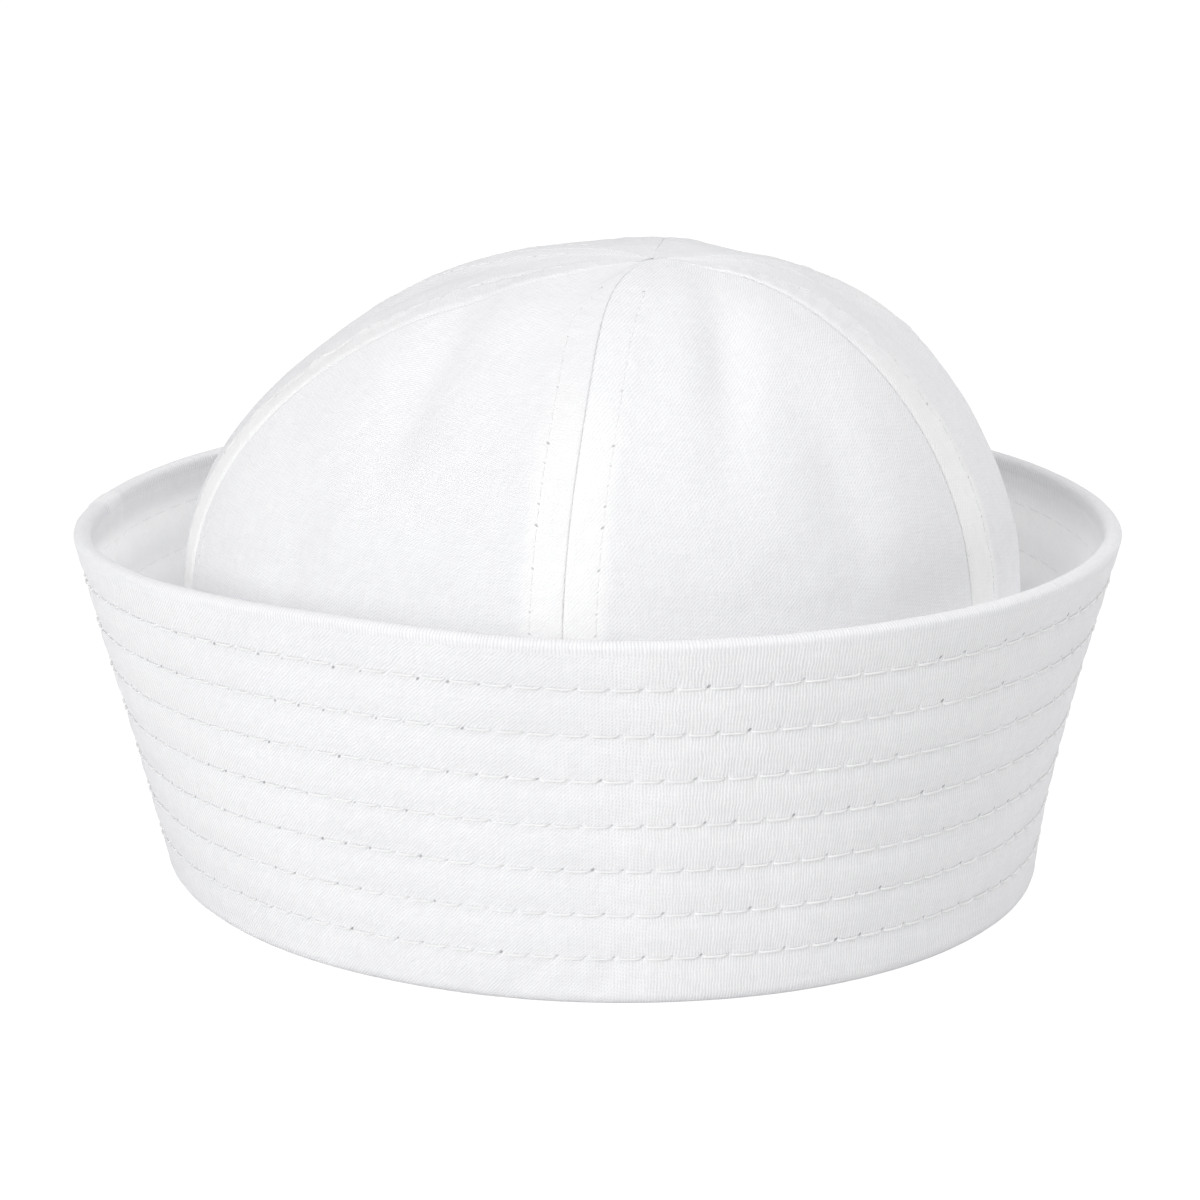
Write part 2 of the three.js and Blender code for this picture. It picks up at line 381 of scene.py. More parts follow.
def cloth_object(
    name: str,
    points: Points,
    maps: dict[str, Points],
    marks: dict[str, Values],
    closed: bool = False,
) -> bpy.types.Object:
    """A sheet of quads laid on a net of points.

    Args:
        name: The object's name.
        points: Places in millimetres from the cap's axis, rows by columns by 3.
        maps: Each UV map's name, and its places, rows by columns by 2.
        marks: Each attribute's name, and its values, rows by columns.
        closed: Whether the net's opposite edges meet, as on a ring.

    Returns:
        The object, linked to the scene.
    """
    rows, columns = points.shape[:2]
    built = bmesh.new()
    bmesh.ops.create_grid(built, x_segments=columns - 1, y_segments=rows - 1, size=1.0)
    mesh = mesh_of(built, name)
    spots = np.zeros(len(mesh.vertices) * 3, np.float32)
    mesh.vertices.foreach_get("co", spots)
    spots = (spots.reshape(-1, 3)[:, :2] + 1) / 2 * (columns - 1, rows - 1)
    column, row = np.rint(spots).astype(int).T
    placed = (points[row, column] + AXIS) * MM
    mesh.vertices.foreach_set("co", placed.astype(np.float32).ravel())
    corners = np.zeros(len(mesh.loops), np.int32)
    mesh.loops.foreach_get("vertex_index", corners)
    for map_name, places in maps.items():
        layer = mesh.uv_layers.new(name=map_name)
        layer.data.foreach_set("uv", places[row, column][corners].astype(np.float32).ravel())
    for mark, values in marks.items():
        layer = mesh.attributes.new(mark, "FLOAT", "POINT")
        layer.data.foreach_set("value", values[row, column].astype(np.float32))
    if closed:
        built = bmesh.new()
        built.from_mesh(mesh)
        bmesh.ops.remove_doubles(built, verts=built.verts, dist=1e-6)
        bmesh.ops.recalc_face_normals(built, faces=built.faces)
        built.to_mesh(mesh)
        built.free()
    mesh.shade_smooth()
    return linked(name, mesh)


@dataclass(frozen=True)
class Thread:
    """A sewing thread, as short tubes of a few faces that dip into the cloth at their ends."""

    radius: float
    proud: float
    dip: float
    hook: float
    sides: int = 5
    steps: int = 7

    def sew(self, name: str, sheet: Sheet, lines: Lines) -> bpy.types.Object:
        """Sews stitches on a sheet.

        Args:
            name: The object's name.
            sheet: The cloth under the stitches.
            lines: For each run of stitches, the rows and columns of the sheet at each step of
                each stitch, stitches by steps + 1, and how far the hook at the end goes in rows.

        Returns:
            The object that holds all the stitches.
        """
        rows = np.concatenate([line[0] for line in lines])
        columns = np.concatenate([line[1] for line in lines])
        hooks = np.concatenate([line[2] for line in lines])
        step = np.linspace(0.0, 1.0, self.steps + 1)
        rows = rows + hooks[:, None] * smooth(0.78, 1.0, step)
        normal = sheet.normals(rows, columns)
        lift = self.proud - (self.proud + self.dip) * (2 * np.abs(step - 0.5)) ** 8
        centre = sheet.at(rows, columns) + normal * lift[None, :, None]
        heading = unit(np.gradient(centre, axis=1))
        beside = unit(np.cross(heading, normal))
        above = np.cross(beside, heading)
        turn = np.linspace(0.0, 2 * math.pi, self.sides + 1)[None, None, :, None]
        ring = above[:, :, None] * np.cos(turn) + beside[:, :, None] * np.sin(turn)
        taper = (self.radius * (1 - 0.35 * np.abs(2 * step - 1) ** 6))[None, :, None, None]
        tube = centre[:, :, None] + ring * taper
        built = bmesh.new()
        for _ in range(len(tube)):
            bmesh.ops.create_grid(built, x_segments=self.sides, y_segments=self.steps, size=1.0)
        placed = ((tube + AXIS) * MM).reshape(-1, 3)
        for vert, point in zip(built.verts, placed):
            vert.co = point
        bmesh.ops.remove_doubles(built, verts=built.verts, dist=1e-7)
        bmesh.ops.holes_fill(built, edges=[edge for edge in built.edges if edge.is_boundary])
        bmesh.ops.recalc_face_normals(built, faces=built.faces)
        mesh = mesh_of(built, name)
        mesh.shade_smooth()
        return linked(name, mesh)


class Desk:
    """Places and joins the nodes of one tree."""

    def __init__(self, tree: bpy.types.NodeTree) -> None:
        """Takes the tree to work on."""
        self.tree = tree

    def add(
        self, kind: str, feeds: dict[object, object] | None = None, **settings: object
    ) -> bpy.types.Node:
        """Adds a node.

        Args:
            kind: The node's type, without its common start.
            feeds: For each input, a socket to join to it or a plain value.
            settings: Properties of the node.

        Returns:
            The node.
        """
        node = self.tree.nodes.new(f"ShaderNode{kind}")
        for name, value in settings.items():
            setattr(node, name, value)
        for name, value in (feeds or {}).items():
            self.feed(node.inputs[name], value)
        return node

    def feed(self, target: Socket, value: object) -> None:
        """Joins a socket to an input, or sets the input's plain value."""
        if isinstance(value, bpy.types.NodeSocket):
            self.tree.links.new(value, target)
        else:
            target.default_value = value

    def math(self, operation: str, *values: object) -> Socket:
        """The result of a Math node."""
        node = self.add("Math", operation=operation)
        for target, value in zip(node.inputs, values):
            self.feed(target, value)
        return node.outputs[0]

    def ramp(self, value: Socket, low: object, high: object, start: float, end: float) -> Socket:
        """A value made to run smoothly from start at low to end at high."""
        node = self.add(
            "MapRange",
            {"Value": value, "From Min": low, "From Max": high, "To Min": start, "To Max": end},
            interpolation_type="SMOOTHSTEP",
        )
        return node.outputs["Result"]

    def times(self, first: object, second: object) -> Socket:
        """The product of two values."""
        return self.math("MULTIPLY", first, second)

    def noise(self, place: Socket, scale: float, detail: float) -> Socket:
        """Smooth random values from 0 to 1."""
        node = self.add("TexNoise", {"Vector": place, "Scale": scale, "Detail": detail})
        return node.outputs["Fac"]

    def bump(
        self, height: Socket, depth: float, under: Socket | None = None, sunk: bool = False
    ) -> Socket:
        """A normal shaped by heights, in millimetres, on top of the normal of what is under them."""
        feeds = {"Height": height, "Strength": 1.0, "Distance": depth * MM}
        node = self.add("Bump", feeds, invert=sunk)
        if under is not None:
            self.feed(node.inputs["Normal"], under)
        return node.outputs[0]

    def blend(self, share: object, first: object, second: object) -> Socket:
        """A colour between two."""
        node = self.add("Mix", data_type="RGBA")
        self.feed(node.inputs[0], share)
        self.feed(node.inputs[6], first)
        self.feed(node.inputs[7], second)
        return node.outputs[2]


def new_finish(name: str) -> tuple[bpy.types.Material, Desk, dict[str, Socket]]:
    """A new material, the desk for its nodes, and the inputs of its shader."""
    made = bpy.data.materials.new(name)
    made.use_nodes = True
    return made, Desk(made.node_tree), made.node_tree.nodes["Principled BSDF"].inputs


class Group:
    """A shader node group with named inputs and outputs."""

    def __init__(self, name: str, inputs: dict[str, str], outputs: dict[str, str]) -> None:
        """Makes the group's tree and its sockets.

        Args:
            name: The group's name.
            inputs: Each input's name and its kind of socket.
            outputs: Each output's name and its kind of socket.
        """
        self.tree = bpy.data.node_groups.new(name, "ShaderNodeTree")
        new_socket = self.tree.interface.new_socket
        for side, sockets in (("INPUT", inputs), ("OUTPUT", outputs)):
            for socket, kind in sockets.items():
                new_socket(name=socket, in_out=side, socket_type=f"NodeSocket{kind}")
        self.desk = Desk(self.tree)
        self.source = self.tree.nodes.new("NodeGroupInput").outputs
        self.result = self.tree.nodes.new("NodeGroupOutput").inputs

    def place(self, desk: Desk, feeds: dict[str, object]) -> bpy.types.Node:
        """Places the group on a desk."""
        node = desk.add("Group", node_tree=self.tree)
        for name, value in feeds.items():
            desk.feed(node.inputs[name], value)
        return node


def weave_group() -> Group:
    """Ribs of twill, leaning or upright, crossed by yarns, with slubs here and there."""
    group = Group(
        "twill_weave",
        {"Map": "Vector", "Upright": "Float", "Pitch": "Float", "Wander": "Float"},
        {"Height": "Float"},
    )
    desk, source = group.desk, group.source
    wander = desk.noise(source["Map"], 0.35, 3.0)
    shift = desk.times(desk.math("SUBTRACT", wander, 0.5), source["Wander"])
    parts = desk.add("SeparateXYZ", {"Vector": source["Map"]})
    side, up = parts.outputs["X"], parts.outputs["Y"]
    turn = desk.math("DIVIDE", 2 * math.pi, source["Pitch"])

    def ridges(place: Socket, share: float, phase: Socket) -> Socket:
        """Rounded ridges along a place, a share of the pitch apart."""
        angle = desk.times(place, desk.times(turn, 1 / share))
        wave = desk.math("SINE", desk.math("ADD", angle, phase))
        return desk.math("MULTIPLY_ADD", wave, 0.5, 0.5)

    phase = desk.times(shift, turn)
    leaning = ridges(desk.math("SUBTRACT", side, up), math.sqrt(2), phase)
    standing = ridges(side, 1.15, phase)
    crossing = ridges(up, 1.1, desk.times(phase, 1.7))
    mixed = desk.add("Mix", {0: source["Upright"], 2: leaning, 3: standing}, data_type="FLOAT")
    beads = desk.times(mixed.outputs[0], desk.math("MULTIPLY_ADD", crossing, 0.35, 0.65))
    streaks = []
    for stretch in ((0.15, 2.2, 1.0), (2.2, 0.15, 1.0)):
        spread = desk.add("Mapping", {"Vector": source["Map"], "Scale": stretch})
        streaks.append(desk.noise(spread.outputs[0], 1.0, 2.0))
    slub = desk.times(desk.math("ADD", *streaks), 0.5)
    desk.feed(group.result["Height"], desk.math("MULTIPLY_ADD", slub, 1.1, beads))
    return group


def needle_group() -> Group:
    """Needle holes along rows of stitches, and the cloth that each stitch pulls in."""
    group = Group(
        "needle_holes",
        {"Map": "Vector", "Stitch": "Float", "Row": "Float", "Stagger": "Float",
         "Hook": "Float", "Radius": "Float"},
        {"Hole": "Float", "Pull": "Float"},
    )
    desk, source = group.desk, group.source
    parts = desk.add("SeparateXYZ", {"Vector": source["Map"]})
    row = desk.math("ROUND", parts.outputs["Y"])
    place = desk.math("MULTIPLY_ADD", row, source["Stagger"], parts.outputs["X"])
    cell = desk.add("CombineXYZ", {"X": desk.math("FLOOR", place), "Y": row})
    dice = desk.add("TexWhiteNoise", {"Vector": cell.outputs[0]}, noise_dimensions="3D")
    chance = dice.outputs["Value"]
    side = desk.math("SUBTRACT", desk.math("FRACT", place), 0.5)
    side = desk.times(side, source["Stitch"])
    up = desk.times(desk.math("SUBTRACT", parts.outputs["Y"], row), source["Row"])
    up = desk.math("SUBTRACT", up, source["Hook"])
    along = desk.times(desk.math("ADD", side, up), 0.5)
    athwart = desk.times(desk.math("SUBTRACT", side, up), 0.9)
    offset = desk.add("CombineXYZ", {"X": along, "Y": athwart})
    away = desk.add("VectorMath", {0: offset.outputs[0]}, operation="LENGTH").outputs["Value"]
    radius = desk.times(source["Radius"], desk.math("MULTIPLY_ADD", chance, 0.8, 0.5))
    inner = desk.times(radius, 0.5)
    open_hole = desk.ramp(away, inner, radius, 1.0, 0.0)
    depth = desk.math("MULTIPLY_ADD", desk.times(chance, chance), 0.7, 0.3)
    desk.feed(group.result["Hole"], desk.times(open_hole, depth))
    wide = desk.times(source["Radius"], 4.5)
    desk.feed(group.result["Pull"], desk.ramp(away, 0.0, wide, 1.0, 0.0))
    return group


def tone_group() -> Group:
    """Soft uneven tone of laundered cotton."""
    group = Group("cotton_tone", {"Place": "Vector"}, {"Tone": "Float"})
    desk, source = group.desk, group.source
    wide = desk.noise(source["Place"], 45.0, 3.0)
    fine = desk.noise(source["Place"], 420.0, 2.0)
    both = desk.math("MULTIPLY_ADD", fine, 0.4, desk.times(wide, 0.6))
    desk.feed(group.result["Tone"], both)
    return group


@dataclass(frozen=True)
class Effects:
    """The node groups that the cap's finishes share."""

    weave: Group
    needles: Group
    tone: Group


@dataclass(frozen=True)
class Twill:
    """White cotton twill with rows of stitches."""

    stitch: float
    row: float
    stagger: float
    hook: float
    hole: float
    pull_depth: float
    # Painted shade in the needle holes.
    hole_shade: Colour = (0.42, 0.42, 0.44, 1.0)
    single: Colour = (0.91, 0.91, 0.925, 1.0)
    # Lighter tone: for cloth that lies double, and for painted light.
    double: Colour = (0.955, 0.955, 0.955, 1.0)
    # Painted shade for the weave's valleys; also the darker side of the cotton's uneven tone, which
    # is the cloth's own.
    shade: Colour = (0.74, 0.74, 0.76, 1.0)
    rib_pitch: float = 0.56
    rib_wander: float = 0.9
    rib_height: float = 0.07
    hole_depth: float = 0.15
    # How much painted shade the weave's valleys take.
    valley_shade_share: float = 0.9
    # The next two colours are the emission of a painted glow, off and at full.
    dark: Colour = (0.0, 0.0, 0.0, 1.0)
    glow_colour: Colour = (0.115, 0.115, 0.115, 1.0)

    def material(self, name: str, effects: Effects) -> bpy.types.Material:
        """Builds the finish.

        Args:
            name: The material's name.
            effects: The shared node groups.

        Returns:
            The material.
        """
        made, desk, surface = new_finish(name)
        cloth = desk.add("UVMap", uv_map=CLOTH_MAP).outputs["UV"]
        needle = desk.add("UVMap", uv_map=NEEDLE_MAP).outputs["UV"]
        place = desk.add("TexCoord").outputs["Object"]
        doubled_and_painted_light = desk.add("Attribute", attribute_name=DOUBLED_AND_PAINTED_LIGHT).outputs["Fac"]
        upright = desk.add("Attribute", attribute_name=UPRIGHT).outputs["Fac"]
        weave = effects.weave.place(
            desk,
            {"Map": cloth, "Upright": upright, "Pitch": self.rib_pitch, "Wander": self.rib_wander},
        ).outputs
        holes = effects.needles.place(
            desk,
            {"Map": needle, "Stitch": self.stitch, "Row": self.row, "Stagger": self.stagger,
             "Hook": self.hook, "Radius": self.hole},
        ).outputs
        tone = effects.tone.place(desk, {"Place": place}).outputs["Tone"]
        colour = desk.blend(doubled_and_painted_light, self.single, self.double)
        # Painted shade in the weave's valleys, less where the cloth lies double.
        valley_shade = desk.ramp(weave["Height"], 0.4, 1.2, self.valley_shade_share, 0.0)
        valley_shade = desk.times(valley_shade, desk.ramp(doubled_and_painted_light, 0.0, 1.0, 1.0, 0.4))
        colour = desk.blend(valley_shade, colour, self.shade)
        colour = desk.blend(desk.ramp(tone, 0.35, 0.65, 0.18, 0.0), colour, self.shade)
        # Painted shade in the needle holes, deeper in some than in others.
        colour = desk.blend(holes["Hole"], colour, self.hole_shade)
        ribs = desk.bump(weave["Height"], self.rib_height)
        pulled = desk.bump(holes["Pull"], self.pull_depth, ribs, sunk=True)
        pierced = desk.bump(holes["Hole"], self.hole_depth, pulled, sunk=True)
        # Painted glow: an emission that lightens the marked places where shade falls.
        painted_glow = desk.add("Attribute", attribute_name=PAINTED_GLOW).outputs["Fac"]
        glow = desk.blend(painted_glow, self.dark, self.glow_colour)
        desk.feed(surface["Base Color"], colour)
        desk.feed(surface["Emission Color"], glow)
        desk.feed(surface["Normal"], pierced)
        surface["Roughness"].default_value = 0.92
        surface["Specular IOR Level"].default_value = 0.15
        surface["Emission Strength"].default_value = 1.0
        return made


@dataclass(frozen=True)
class Cotton:
    """White sewing thread, twisted from plies."""

    colour: Colour = (0.95, 0.95, 0.95, 1.0)
    # Painted shade in the hollows between the plies.
    hollow_shade: Colour = (0.87, 0.87, 0.88, 1.0)
    ply: float = 3600.0
    ply_height: float = 0.02

    def material(self, name: str) -> bpy.types.Material:
        """Builds the finish."""
        made, desk, surface = new_finish(name)
        place = desk.add("TexCoord").outputs["Object"]
        feeds = {"Vector": place, "Scale": self.ply, "Distortion": 1.5}
        twist = desk.add("TexWave", feeds, bands_direction="DIAGONAL").outputs["Fac"]
        # Painted shade in the hollows of the twist.
        desk.feed(surface["Base Color"], desk.blend(twist, self.hollow_shade, self.colour))
        desk.feed(surface["Normal"], desk.bump(twist, self.ply_height))
        surface["Roughness"].default_value = 0.75
        surface["Sheen Weight"].default_value = 0.1
        return made


@dataclass
class Crown:
    """Six gores of single twill, sewn together and topstitched beside their seams."""

    height: float = 136.7
    spring: float = 62.0
    swell: float = 1.5
    lean_right: float = 8.7
    lean_front: float = 12.2
    cloth: float = 1.2
    flatness: float = 1.3
    inset: float = 6.6
    meeting_right: float = 0.0155
    meeting_front: float = 0.0905
    meeting_reach: float = 0.85
    sway_peak: float = 0.2
    tip: float = 0.0015
    lift_per_width: float = 0.02
    band_edge: float = 1.6
    ladder_height: float = 0.16
    ladder_place: float = 0.6
    ladder_width: float = 0.75
    fold_edge: float = 0.07
    fold_place: float = 1.0
    fold_width: float = 0.9
    caught_swell: float = 0.3
    caught_width: float = 1.0
    pucker_low: float = 0.10
    pucker_high: float = 0.22
    pucker_size: float = 4.6
    pucker_seed: float = 3.3
    pucker_width: float = 3.2
    bare_run: float = 14.0
    calm_width: float = 14.0
    calm_share: float = 0.35
    doubled_edge: Span = (-2.8, 2.2)
    # Partly painted shade: the bands of cloth that lies double fade to the single tone towards the
    # crown's top, keeping the top darker.
    doubled_top_shade_reach: Span = (0.15, 0.85)
    # Painted light: the crown's lower part, near and inside the brim, takes the lighter tone where
    # shade falls.
    painted_foot_light_reach: Span = (0.95, 1.25)
    painted_foot_light_share: float = 0.8
    # A painted glow lightens the crown's foot, low beside the brim where shade falls.
    glow_reach: Span = (0.84, 1.0)
    glow_share: float = 0.7
    rib_lean: float = 0.25
    held_foot: float = 0.06
    near_share: float = 0.42
    topstitch_pitch: float = 4.2
    topstitch_groove: float = 0.05
    groove_width: float = 0.9
    near_step: float = 0.4
    near_reach: float = 13.2
    middle_columns: int = 44
    wall_rows: int = 26
    dome_rows: int = 128

    @property
    def wall_per_unit(self) -> float:
        """Millimetres down the wall for one part of reach past the dome's edge."""
        return (self.height - self.spring) * math.pi / 2

    @property
    def foot_reach(self) -> float:
        """Reach of the crown's lower edge."""
        return 1 + self.spring / self.wall_per_unit

    def chart(self, gore: Gore, across: Values, reach: Values) -> tuple[Values, Values]:
        """Places on a flat chart of the crown, whose middle is the dome's top.

        Args:
            gore: The panel.
            across: Parts of the way from its left seam to its right one.
            reach: Distance down from the top, in parts of a quarter turn, past 1 on the wall.

        Returns:
            The places' two coordinates.
        """
        left = SEAMS[gore.first]
        right = SEAMS[(gore.first + 1) % len(SEAMS)]
        span = (right.azimuth - left.azimuth) % 360.0
        angle = np.radians(left.azimuth + span * across)
        pull = (1 - np.minimum(reach / self.meeting_reach, 1.0) ** 2) ** 2
        sway = (left.sway + (right.sway - left.sway) * across) * reach / self.sway_peak
        sway = sway * np.exp(1 - reach / self.sway_peak)
        return (
            reach * np.sin(angle) + self.meeting_right * pull + sway * np.cos(angle),
            -reach * np.cos(angle) - self.meeting_front * pull + sway * np.sin(angle),
        )

    def face(self, x: Values, y: Values, flat: Values | float = 0.0) -> Points:
        """Points of the smooth crown at places on the chart, let in by a gore's flatness."""
        reach = np.hypot(x, y)
        angle = np.arctan2(x, -y)
        wall = around(Column.FOLD, np.degrees(angle)) - self.inset
        down = np.clip((reach - 1) / (self.foot_reach - 1), 0.0, 1.0)
        rise = np.pi / 2 * (1 - np.clip(reach, 0.0, 1.0))
        let_in = flat * np.sin(2 * rise)
        on_dome = reach < 1
        radius = np.where(
            on_dome,
            (wall + self.swell) * np.cos(rise) - let_in * np.sin(rise),
            wall + self.swell * (1 - down * down),
        )
        height = np.where(
            on_dome,
            self.spring + (self.height - self.spring) * np.sin(rise) - let_in * np.cos(rise),
            self.spring - self.wall_per_unit * (reach - 1),
        )
        right = self.lean_right * np.sin(rise) ** 2
        front = self.lean_front * np.sin(rise) ** 3
        return np.stack((radius * np.sin(angle) + right, -radius * np.cos(angle) - front, height), -1)

    def normals(self, x: Values, y: Values, step: float = 0.002) -> Points:
        """Outward unit normals of the smooth crown."""
        slope_x = self.face(x + step, y) - self.face(x - step, y)
        slope_y = self.face(x, y + step) - self.face(x, y - step)
        return unit(np.cross(slope_x, slope_y))

    def dents(self, x: Values, y: Values) -> Values:
        """Depth of the soft folds at places on the chart."""
        azimuth = np.degrees(np.arctan2(x, -y))
        rise = 90 * (1 - np.hypot(x, y))
        depth = np.zeros_like(x)
        for dent in CROWN_DENTS:
            side = np.radians(turned(azimuth, dent.azimuth))
            side = side * around(Column.FOLD, azimuth) * np.cos(np.radians(np.maximum(rise, 0.0)))
            depth = depth + dent.at(side, (rise - dent.rise) / 90 * self.wall_per_unit)
        return depth

    def reaches(self) -> Values:
        """Reach of each row of a gore's net, from its foot to its tip."""
        wall = np.linspace(self.foot_reach, 1.0, self.wall_rows, endpoint=False)
        return np.concatenate((wall, np.linspace(1.0, self.tip, self.dome_rows + 1)))

    def columns(self, gore: Gore, reach: Values) -> tuple[Values, Values]:
        """Columns of a gore's net.

        Args:
            gore: The panel.
            reach: Reach of each row.

        Returns:
            Parts of the way across, rows by columns, and the distances in millimetres from the
            nearer seam, both drawn together where the gore narrows to its tip.
        """
        charts = (self.chart(gore, np.full_like(reach, side.value), reach) for side in Edge)
        left, right = (self.face(*chart) for chart in charts)
        width = np.linalg.norm(right - left, axis=-1)[:, None]
        near = np.arange(0.0, self.near_reach + self.near_step / 2, self.near_step)[None, :]
        shrink = np.minimum(1.0, self.near_share * width / self.near_reach)
        left = near * shrink / width
        middle = np.linspace(0.0, 1.0, self.middle_columns + 1)[None, 1:-1]
        middle = left[:, -1:] + (1 - 2 * left[:, -1:]) * middle
        across = np.concatenate((left, middle, 1 - left[:, ::-1]), axis=1)
        out = np.minimum(across, 1 - across) * width / shrink
        return across, out

    def hems(self, gore: Gore) -> tuple[Hem, Hem]:
        """The hems along a gore's left edge and along its right one."""
        return SEAMS[gore.first].right, SEAMS[(gore.first + 1) % len(SEAMS)].left

    def lift(self, hem: Hem, out: Values, run: Values, reach: Values) -> Values:
        """How far the cloth stands out of the smooth crown, by its distance from the seam.

        Args:
            hem: The cloth beside the seam.
            out: Distances from the seam.
            run: Distances up along the seam.
            reach: Reach of each place.

        Returns:
            Heights in millimetres.
        """
        fade = smooth(0.0, 0.10, reach)
        held = hem.held(reach)
        wave = 0.5 + 0.5 * np.cos(2 * np.pi * run / self.topstitch_pitch)
        shoulder = (1 - np.clip(out / hem.turn, 0.0, 1.0)) ** 2
        band = 0.0 * out
        if hem.width:
            edge = smooth(-self.band_edge, self.band_edge, out - hem.width)
            band = self.lift_per_width * hem.width * (1 - edge)
            middle = self.ladder_place * hem.row
            ladder = smooth(0.5, 0.3, reach) * bell(out - middle, self.ladder_width * middle)
            band = band + self.ladder_height * hem.pucker * ladder * (wave - 0.5)
            if hem.pucker > 1:
                band = band + self.fold_edge * bell(out - self.fold_place, self.fold_width)
        if hem.row:
            groove = (0.4 + 0.6 * wave) * bell(out - hem.row, self.groove_width)
            band = band - self.topstitch_groove * hem.pucker * held * groove
            if not hem.width:
                bulge = self.caught_swell * (1 - wave) * bell(out - hem.row, self.caught_width)
                band = band + bulge * held
        return band * fade * (1 - shoulder) - hem.dip * shoulder * fade

    def pucker(self, hem: Hem, base: Points, out: Values, reach: Values) -> Values:
        """The small uneven rises along a hem's topstitching."""
        if not hem.row:
            return 0.0 * out
        strength = self.pucker_low + self.pucker_high * smooth(0.75, 0.45, reach)
        bumps = ripple(base, self.pucker_size, self.pucker_seed)
        near = bell(out - hem.row, self.pucker_width)
        return hem.pucker * strength * hem.held(reach) * bumps * near

    def sheet(self, gore: Gore) -> tuple[Sheet, dict[str, Points], dict[str, Values]]:
        """Lays out one gore.

        Args:
            gore: The panel.

        Returns:
            Its outer face, its UV maps, and its marks.
        """
        reach_rows = self.reaches()
        across, out = self.columns(gore, reach_rows)
        reach = np.broadcast_to(reach_rows[:, None], across.shape)
        x, y = self.chart(gore, across, reach)
        base = self.face(x, y, self.flatness * np.sin(np.pi * across))
        normal = self.normals(x, y)
        run = run_along(base)
        calm = self.calm_share + (1 - self.calm_share) * smooth(0.0, self.calm_width, out)
        soft = uneven(base, CROWN_UNEVENNESS) * calm - self.dents(x, y)
        middle = across.shape[1] // 2
        halves = (slice(0, middle), slice(middle, None))
        rise, doubled_and_painted_light, seam_run, stitched = (np.zeros_like(out) for _ in range(4))
        for hem, part, seam in zip(self.hems(gore), halves, (0, -1)):
            here = run[:, seam, None] + 0 * out[:, part]
            away = out[:, part]
            rise[:, part] = self.lift(hem, away, here, reach[:, part])
            rise[:, part] += self.pucker(hem, base[:, part], away, reach[:, part])
            seam_run[:, part] = here
            if hem.width:
                doubled_and_painted_light[:, part] = 1 - smooth(*self.doubled_edge, away - hem.width)
            sewn = (reach[:, part] > hem.stop) & (hem.row > 0)
            stitched[:, part] = np.where(sewn, np.clip((away - hem.row) / ROW_UNIT, -0.4, 0.4), 0.4)
        rise = (rise + soft) * smooth(self.foot_reach, self.foot_reach - self.held_foot, reach)
        points = base + normal * rise[..., None]
        points[0, :, 2] = 0.0
        side = run_along(base, axis=1)
        side = side - side[:, middle : middle + 1]
        up = np.broadcast_to(run[:, middle : middle + 1], side.shape)
        maps = {
            CLOTH_MAP: np.stack((side, up), -1),
            NEEDLE_MAP: np.stack((seam_run / self.topstitch_pitch, stitched), -1),
        }
        # The bands fade towards the top: partly painted shade.
        doubled_and_painted_light = doubled_and_painted_light * smooth(*self.doubled_top_shade_reach, reach)
        marks = {
            # the lighter tone towards the crown's foot is painted light
            DOUBLED_AND_PAINTED_LIGHT: np.maximum(doubled_and_painted_light, self.painted_foot_light_share * smooth(*self.painted_foot_light_reach, reach)),
            UPRIGHT: np.full_like(out, self.rib_lean),
            PAINTED_GLOW: self.glow_share * smooth(*self.glow_reach, reach),
        }
        return Sheet(points), maps, marks

    def topstitch_lines(self, gore: Gore, sheet: Sheet, thread: Thread) -> Lines:
        """Two lines of stitches up a gore, one beside each seam.

        Args:
            gore: The panel.
            sheet: The gore's outer face.
            thread: The thread that sews it.

        Returns:
            The lines, as Thread.sew takes them.
        """
        rows, columns = sheet.points.shape[:2]
        lines = []
        for side, hem in zip(Edge, self.hems(gore)):
            if not hem.row:
                continue
            column = hem.row / self.near_step
            seam = 0.0
            if side is Edge.RIGHT:
                column = columns - 1 - column
                seam = columns - 1.0
            track = sheet.at(np.arange(rows) * 1.0, np.full(rows, seam))
            run = run_along(track)
            count = int((run[-1] - self.bare_run) / self.topstitch_pitch)
            starts = (np.arange(1, count) - 0.5) * self.topstitch_pitch
            starts = starts[np.interp(starts, run, self.reaches()) > hem.stop]
            steps = np.linspace(0.10, 0.94, thread.steps + 1) * self.topstitch_pitch
            row = np.interp(starts[:, None] + steps[None, :], run, np.arange(rows))
            lines.append((row, np.full_like(row, column), np.zeros(len(row))))
        return lines

    def thin_tip(self, piece: bpy.types.Object) -> None:
        """Gives a gore's wall its thickness, drawn thin where the seams meet."""
        group = piece.vertex_groups.new(name="wall")
        rows = len(self.reaches())
        columns = len(piece.data.vertices) // rows
        shares = smooth(self.tip, 0.12, self.reaches())
        for row, share in enumerate(shares):
            vertices = list(range(row * columns, (row + 1) * columns))
            group.add(vertices, max(float(share), 0.05), "REPLACE")
        wall = piece.modifiers.new("wall", "SOLIDIFY")
        wall.thickness = self.cloth * MM
        wall.offset = -1.0
        wall.vertex_group = group.name

